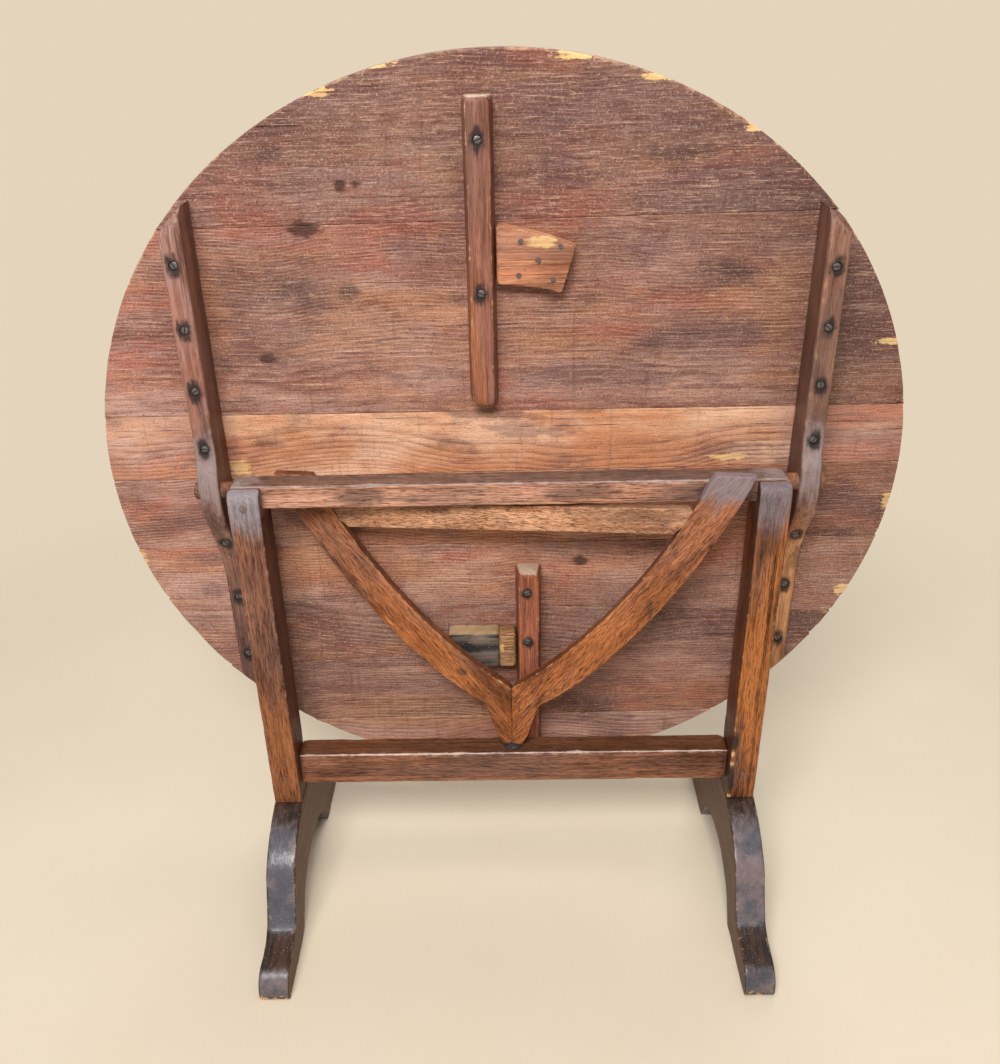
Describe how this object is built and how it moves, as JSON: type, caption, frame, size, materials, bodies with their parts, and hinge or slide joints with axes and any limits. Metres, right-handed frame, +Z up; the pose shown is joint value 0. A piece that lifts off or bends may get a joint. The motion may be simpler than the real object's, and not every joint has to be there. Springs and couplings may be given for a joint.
{
  "type": "tilt-top tasting table",
  "caption": "Folding round tasting table: a boarded top tips on a trestle with arched feet, and a forked gate swings under it to prop it level.",
  "frame": {"origin": "on the floor, midway between the toes and under the middle of the round top", "axes": "+X to the viewer's right along the rail, +Y away from the viewer towards the face of the folded top, +Z up"},
  "size_m": [1.0176, 0.456, 1.1402],
  "materials": {
    "aged_oak": "worn wax over oak",
    "aged_pine": "dry reddish brown stain",
    "orange_pine": "dry orange brown stain",
    "blackened_wood": "dark polished",
    "iron": "dull, rusted"
  },
  "bodies": {
    "trestle": {"left_foot": "blackened_wood", "left_post": "aged_oak", "left_pivot_pin": "aged_oak", "left_rail_peg": "aged_oak", "left_stretcher_peg": "aged_oak", "right_foot": "blackened_wood", "right_post": "aged_oak", "right_pivot_pin": "aged_oak", "right_rail_peg": "aged_oak", "right_stretcher_peg": "aged_oak", "top_rail": "aged_oak", "lower_stretcher": "aged_oak", "gate_washer": "iron"},
    "gate": {"gate_crossbar": "aged_oak", "gate_left_arm": "aged_oak", "gate_left_peg": "aged_oak", "gate_right_arm": "aged_oak", "gate_right_peg": "aged_oak", "gate_lower_dowel": "aged_oak", "gate_upper_dowel": "aged_oak", "gate_lower_pin": "iron", "gate_upper_pin": "iron"},
    "top": {"board_1": "aged_pine", "board_2": "aged_pine", "board_3": "orange_pine", "board_4": "aged_pine", "board_5": "aged_pine", "board_6": "aged_pine", "board_7": "aged_pine", "board_8": "aged_pine", "left_batten": "aged_oak", "right_batten": "aged_oak", "upper_stop_bar": "aged_oak", "lower_stop_bar": "aged_oak", "wear_plate": "aged_oak", "wear_block": "blackened_wood", "end_block": "aged_oak", "left_batten_screw_1": "iron", "left_batten_screw_2": "iron", "left_batten_screw_3": "iron", "left_batten_screw_4": "iron", "left_batten_screw_5": "iron", "left_batten_screw_6": "iron", "left_batten_screw_7": "iron", "right_batten_screw_1": "iron", "right_batten_screw_2": "iron", "right_batten_screw_3": "iron", "right_batten_screw_4": "iron", "right_batten_screw_5": "iron", "right_batten_screw_6": "iron", "right_batten_screw_7": "iron", "upper_bar_screw_1": "iron", "upper_bar_screw_2": "iron", "lower_bar_screw_1": "iron", "lower_bar_screw_2": "iron", "plate_nail_1": "iron", "plate_nail_2": "iron", "plate_nail_3": "iron", "plate_nail_4": "iron", "plate_nail_5": "iron"}
  },
  "joints": [
    {"name": "top_tilt", "type": "hinge", "parent": "trestle", "child": "top", "pos_m": [0.0065, 0.015, 0.6455], "axis": [1, 0, 0], "range_deg": [0, 90]},
    {"name": "gate_swing", "type": "hinge", "parent": "trestle", "child": "gate", "pos_m": [0.0065, 0.0098, 0.2374], "axis": [0, 0, -1], "range_deg": [-0.5, 1.25]}
  ]
}
